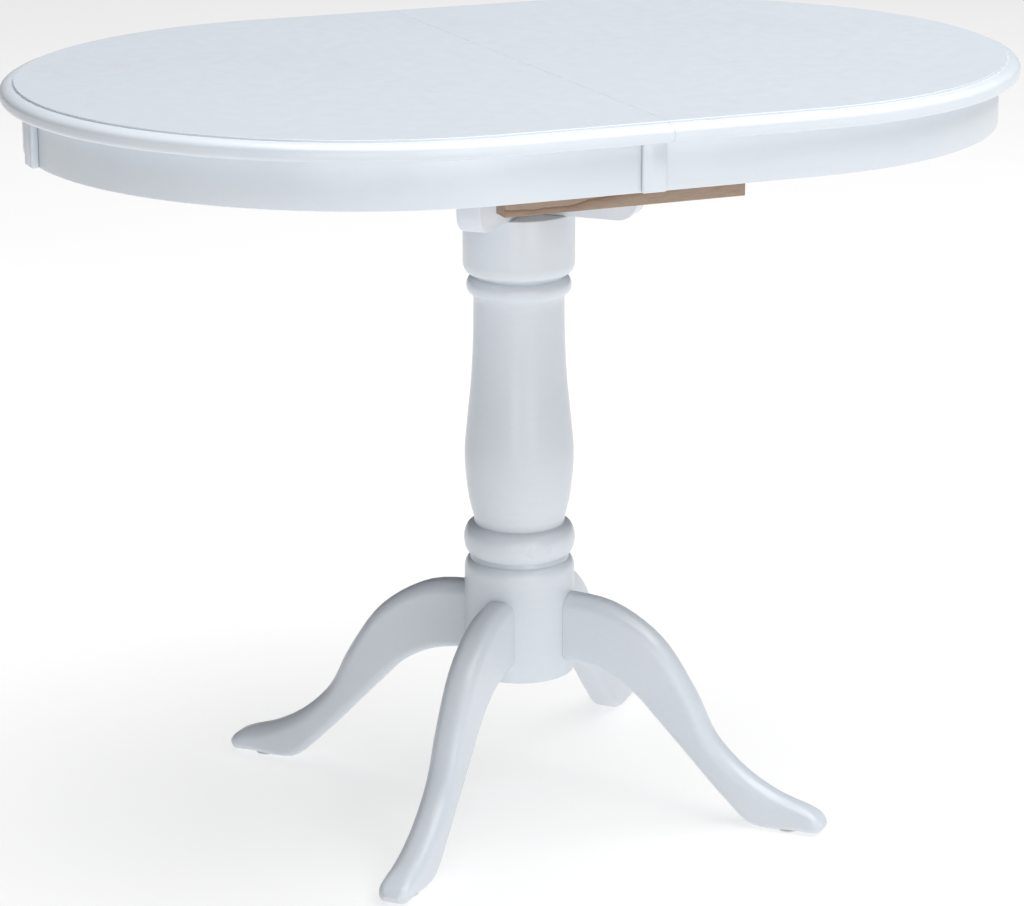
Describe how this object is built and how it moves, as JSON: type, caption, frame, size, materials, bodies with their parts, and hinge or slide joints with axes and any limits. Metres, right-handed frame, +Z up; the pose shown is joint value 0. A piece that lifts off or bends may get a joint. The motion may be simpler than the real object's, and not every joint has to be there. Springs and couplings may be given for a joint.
{
  "type": "extending pedestal table",
  "caption": "White table with a rounded moulded top in two sliding halves on a turned column and swept legs.",
  "frame": {"origin": "on the floor under the axis of the column", "axes": "+Z up, +X along the long way of the top and the way the right half slides, -Y the near side"},
  "size_m": [1, 0.7, 0.75],
  "materials": {
    "top_lacquer": "satin white lacquer",
    "white_lacquer": "satin white lacquer",
    "bare_wood": "raw sanded hardwood",
    "zinc_steel": "zinc plated",
    "brass": "satin plated",
    "glide_plastic": "matt"
  },
  "bodies": {
    "pedestal": {"column": "white_lacquer", "leg_far_right": "white_lacquer", "leg_bolt_far_right": "zinc_steel", "leg_nut_far_right": "zinc_steel", "foot_glide_far_right": "glide_plastic", "board_screw_far_right": "zinc_steel", "leg_far_left": "white_lacquer", "leg_bolt_far_left": "zinc_steel", "leg_nut_far_left": "zinc_steel", "foot_glide_far_left": "glide_plastic", "board_screw_far_left": "zinc_steel", "leg_near_left": "white_lacquer", "leg_bolt_near_left": "zinc_steel", "leg_nut_near_left": "zinc_steel", "foot_glide_near_left": "glide_plastic", "board_screw_near_left": "zinc_steel", "leg_near_right": "white_lacquer", "leg_bolt_near_right": "zinc_steel", "leg_nut_near_right": "zinc_steel", "foot_glide_near_right": "glide_plastic", "board_screw_near_right": "zinc_steel", "bearer_bar_lower": "white_lacquer", "bearer_bar_upper": "white_lacquer", "bearer_bolt": "zinc_steel", "mounting_board": "bare_wood", "board_cleat_near": "bare_wood", "board_cleat_far": "bare_wood", "slide_rail_near": "bare_wood", "slide_rail_far": "bare_wood", "leaf_lower": "top_lacquer", "leaf_upper": "top_lacquer", "leaf_hinge_lower_left": "brass", "leaf_hinge_upper_left": "brass", "leaf_hinge_pin_left": "zinc_steel", "leaf_hinge_lower_right": "brass", "leaf_hinge_upper_right": "brass", "leaf_hinge_pin_right": "zinc_steel"},
    "left_half": {"top_left": "top_lacquer", "apron_left_near": "white_lacquer", "apron_left_far": "white_lacquer", "end_block_left": "white_lacquer", "seam_block_left": "white_lacquer", "runner_left_near": "bare_wood", "runner_left_far": "bare_wood", "seam_dowel_near": "bare_wood", "seam_dowel_middle": "bare_wood", "seam_dowel_far": "bare_wood", "lock_plate_near": "brass", "lock_striker_far": "brass"},
    "right_half": {"top_right": "top_lacquer", "apron_right_near": "white_lacquer", "apron_right_far": "white_lacquer", "end_block_right": "white_lacquer", "seam_block_right": "white_lacquer", "runner_right_near": "bare_wood", "runner_right_far": "bare_wood", "lock_plate_far": "brass", "lock_striker_near": "brass"},
    "near_lock": {"lock_lever_near": "brass"},
    "far_lock": {"lock_lever_far": "brass"}
  },
  "joints": [
    {"name": "left_half_slide", "type": "slide", "parent": "pedestal", "child": "left_half", "axis": [-1, 0, 0], "range_m": [0, 0.145]},
    {"name": "right_half_slide", "type": "slide", "parent": "pedestal", "child": "right_half", "axis": [1, 0, 0], "range_m": [0, 0.145]},
    {"name": "near_lock_swing", "type": "hinge", "parent": "left_half", "child": "near_lock", "pos_m": [-0.018, -0.262, 0.725], "axis": [0, 0, 1], "range_deg": [0, 90]},
    {"name": "far_lock_swing", "type": "hinge", "parent": "right_half", "child": "far_lock", "pos_m": [0.018, 0.262, 0.725], "axis": [0, 0, 1], "range_deg": [0, 90]}
  ]
}
